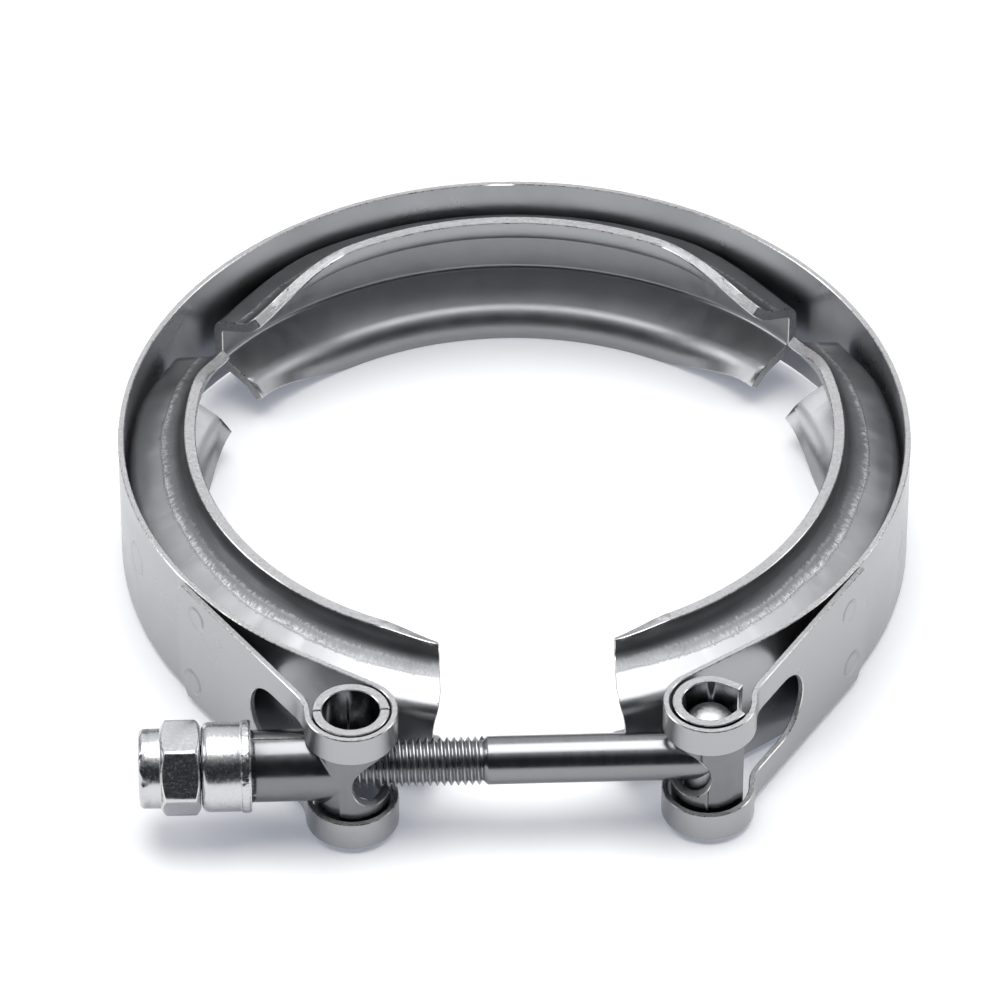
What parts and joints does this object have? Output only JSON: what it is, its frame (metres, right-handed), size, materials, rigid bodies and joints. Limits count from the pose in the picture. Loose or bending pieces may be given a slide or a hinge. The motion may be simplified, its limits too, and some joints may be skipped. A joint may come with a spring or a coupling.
{
  "type": "v-band clamp",
  "caption": "Narrow stainless band with rolled V-section segments inside, drawn tight by a T-bolt and lock nut held in folded strap loops.",
  "frame": {"origin": "centre of the ring at half of the clamp's height", "axes": "+Z along the ring's axis, up as it lies; -Y towards the opening and the T-bolt; +X from the lock nut towards the bolt's T-head"},
  "size_m": [0.1064, 0.1144, 0.0208],
  "materials": {
    "strap": "satin stainless strip, brighter along the sheared edges",
    "retainer": "rolled stainless sheet, satin with burnished streaks from rolling",
    "trunnion": "stamped and rolled stainless, satin",
    "bright_hardware": "bright turned stainless",
    "bolt": "bright rolled-thread stainless"
  },
  "bodies": {
    "rear": {"outer_band": "strap", "retainer_rear": "retainer"},
    "left_arm": {"retainer_left": "retainer"},
    "right_arm": {"retainer_right": "retainer"},
    "nut_trunnion": {"nut_trunnion_front": "trunnion", "nut_trunnion_rear": "trunnion", "neck_ferrule": "bright_hardware"},
    "lock_nut": {"lock_nut": "bright_hardware"},
    "bolt_trunnion": {"bolt_trunnion": "trunnion", "t_bolt": "bolt"}
  },
  "joints": [
    {"name": "left_arm_flex", "type": "hinge", "parent": "rear", "child": "left_arm", "pos_m": [-0.04438, 0.0286, 0], "axis": [0, 0, 1], "range_deg": [0, 6.5], "deforming": ["outer_band"]},
    {"name": "right_arm_flex", "type": "hinge", "parent": "rear", "child": "right_arm", "pos_m": [0.04438, 0.0286, 0], "axis": [0, 0, 1], "range_deg": [-6.5, 0], "deforming": ["outer_band"]},
    {"name": "nut_trunnion_swivel", "type": "hinge", "parent": "left_arm", "child": "nut_trunnion", "pos_m": [-0.0232, -0.0549, 0], "axis": [0, 0, 1], "range_deg": [-6.5, 0]},
    {"name": "bolt_trunnion_swivel", "type": "hinge", "parent": "right_arm", "child": "bolt_trunnion", "pos_m": [0.0232, -0.0549, 0], "axis": [0, 0, 1], "range_deg": [0, 6.5]},
    {"name": "nut_spin", "type": "hinge", "parent": "nut_trunnion", "child": "lock_nut", "pos_m": [-0.047, -0.0549, 0], "axis": [1, 0, 0], "range_deg": [0, 7380]}
  ],
  "couplings": [
    {"joint": "right_arm_flex", "follows": "left_arm_flex", "ratio": -1},
    {"joint": "nut_trunnion_swivel", "follows": "left_arm_flex", "ratio": -1},
    {"joint": "bolt_trunnion_swivel", "follows": "left_arm_flex", "ratio": 1},
    {"joint": "nut_spin", "follows": "left_arm_flex", "ratio": 1135}
  ]
}
